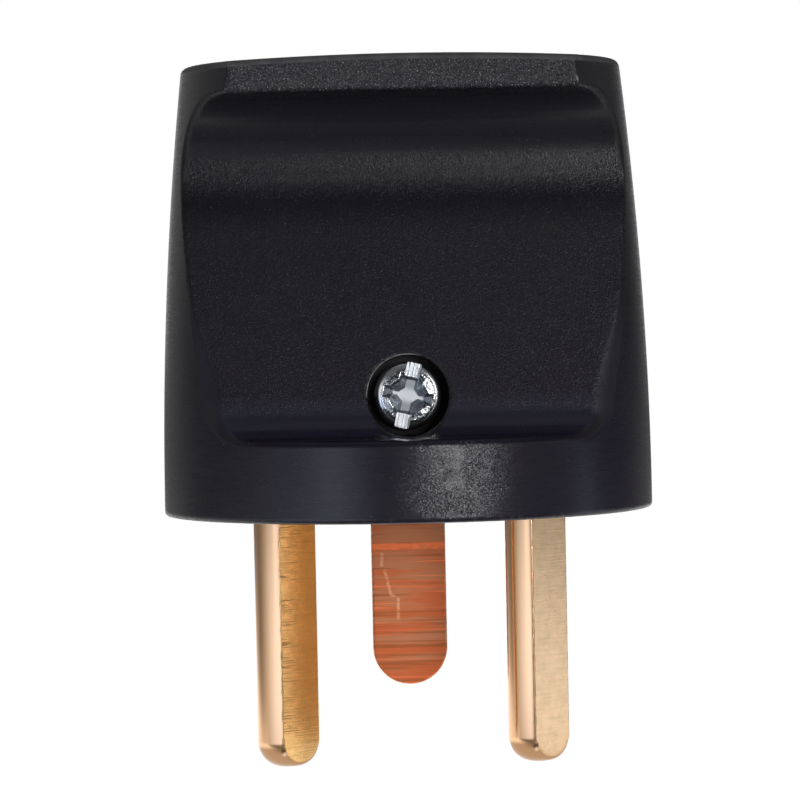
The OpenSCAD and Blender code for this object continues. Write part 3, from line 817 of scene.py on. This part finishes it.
wear(screw, zinc_head())

# Floor, white to the camera, with sheets of light that the metal mirrors
FLOOR_Z, FLOOR_REACH, CAMERA_GLOW = -31.0, 4.0, 0.84
floor_mesh = bpy.data.meshes.new("floor")
floor_corners = [(x * FLOOR_REACH, y * FLOOR_REACH, FLOOR_Z * MM) for x, y in ((-1, -1), (1, -1), (1, 1), (-1, 1))]
floor_mesh.from_pydata(floor_corners, [], [(0, 1, 2, 3)])
floor = bpy.data.objects.new("floor", floor_mesh)
bpy.context.scene.collection.objects.link(floor)
paper = material("floor")
spot = paper.add("SeparateXYZ")
paper.link(paper.add("TexCoord").outputs["Object"], spot.inputs[0])
floor_x, floor_y = spot.outputs["X"], spot.outputs["Y"]
bearing = paper.math("ARCTAN2", floor_x, paper.times(floor_y, -1.0))
away = paper.far(floor_x, floor_y)


def sheet(rise, full, ebb, end, level, far, near):
    """Light between bearings, in degrees to the right of the front, that fades between two distances in metres."""
    rise, full, ebb, end = (math.radians(v) for v in (rise, full, ebb, end))
    light = paper.times(paper.span(bearing, rise, full), paper.span(bearing, end, ebb, 0.0, level))
    return paper.times(light, paper.span(away, far, near))


sheets = paper.most(
    sheet(-114, -26, -24, -14, 1.36, 0.6, 0.45),
    sheet(82, 86, 92, 96, 2.05, 0.48, 0.36),
    sheet(-178, -165, -145, -105, 0.4, 0.48, 0.25),
)
sheets = paper.times(sheets, paper.span(away, 0.09, 0.125))
# Strip of floor under the plug and behind it
strip = paper.span(paper.math("ABSOLUTE", floor_x), 0.17, 0.11)
strip = paper.times(paper.span(floor_y, -0.035, -0.008), strip)
# White to the camera, and the sheets a little cool in reflections
rays = paper.add("LightPath").outputs
mirrored = paper.most(rays["Is Glossy Ray"], rays["Is Transmission Ray"])
glow = paper.times(mirrored, paper.most(sheets, strip))
glow = paper.most(paper.times(rays["Is Camera Ray"], CAMERA_GLOW), glow)
cool = paper.times(mirrored, paper.span(sheets, 0.3, 1.0))
tint = paper.mix(cool, (1, 1, 1, 1), (0.91, 1.07, 1.36, 1))
wear(floor, paper.finish(Base_Color=(0.8, 0.8, 0.8, 1), Roughness=0.9, Specular_IOR_Level=0.0,
                         Emission_Strength=glow, Emission_Color=tint))

# World, white to the camera, with dim walls to reflections
AMBIENT, BEHIND = 0.2, 1.0
world = bpy.data.worlds.new("studio")
bpy.context.scene.world = world
sky = Nodes(world, "Background")
direction = sky.add("SeparateXYZ")
sky.link(sky.add("TexCoord").outputs["Generated"], direction.inputs[0])
to_right, to_back, to_top = (direction.outputs[name] for name in "XYZ")
left_wall = sky.span(to_back, 0.5, 0.85, 0.10, 0.27)
right_wall = sky.span(to_back, 0.75, 0.92, sky.span(to_back, 0.0, 0.25, 0.10, 0.03), 0.2)
walls = sky.span(to_right, -0.3, 0.3, left_wall, right_wall)
raised = sky.times(sky.span(to_top, 0.08, 0.16, 0.0, 0.22), sky.span(to_top, 0.3, 0.5, 1.0, 0.0))
raised = sky.times(raised, sky.span(sky.math("ABSOLUTE", to_right), 0.5, 0.8))
panel = sky.times(sky.span(to_right, 0.6, 0.75, 0.0, 0.2), sky.span(to_back, -0.25, -0.05, 1.0, 0.0))
panel = sky.times(panel, sky.span(to_top, 0.1, 0.25, 1.0, 0.0))
walls = sky.math("ADD", sky.math("ADD", walls, raised), panel)
walls = sky.span(to_top, 0.75, 0.95, walls, 0.2)
walls = sky.span(to_back, 0.93, 0.99, walls, BEHIND)
rays = sky.add("LightPath").outputs
level = sky.blend(sky.most(rays["Is Glossy Ray"], rays["Is Transmission Ray"]), AMBIENT, walls)
level = sky.blend(rays["Is Camera Ray"], level, 1.0)
sky.finish(Color=(1, 1, 1, 1), Strength=level)

# Lamps
LAMP_AIM = Vector((0, 0, 0.012))


def softbox(name, azimuth, elevation, distance, width, height, radiance):
    """Area lamp aimed at the plug. Azimuth is to the right of the camera, all in degrees and metres."""
    lamp = bpy.data.lights.new(name, "AREA")
    lamp.shape = "RECTANGLE"
    lamp.size, lamp.size_y = width, height
    lamp.energy = radiance * math.pi * width * height
    obj = bpy.data.objects.new(name, lamp)
    a, e = math.radians(azimuth), math.radians(elevation)
    out = Vector((math.sin(a) * math.cos(e), -math.cos(a) * math.cos(e), math.sin(e)))
    obj.location = LAMP_AIM + out * distance
    obj.rotation_mode = "QUATERNION"
    obj.rotation_quaternion = out.to_track_quat("Z", "Y")
    bpy.context.scene.collection.objects.link(obj)


softbox("light_right", 22, 2, 0.9, 0.26, 0.42, 12.2)
softbox("light_left", -35, 2, 0.9, 0.26, 0.42, 1.1)
softbox("light_far_left", -60, 2, 0.9, 0.40, 0.42, 0.12)

bpy.context.scene.view_settings.view_transform = "Standard"
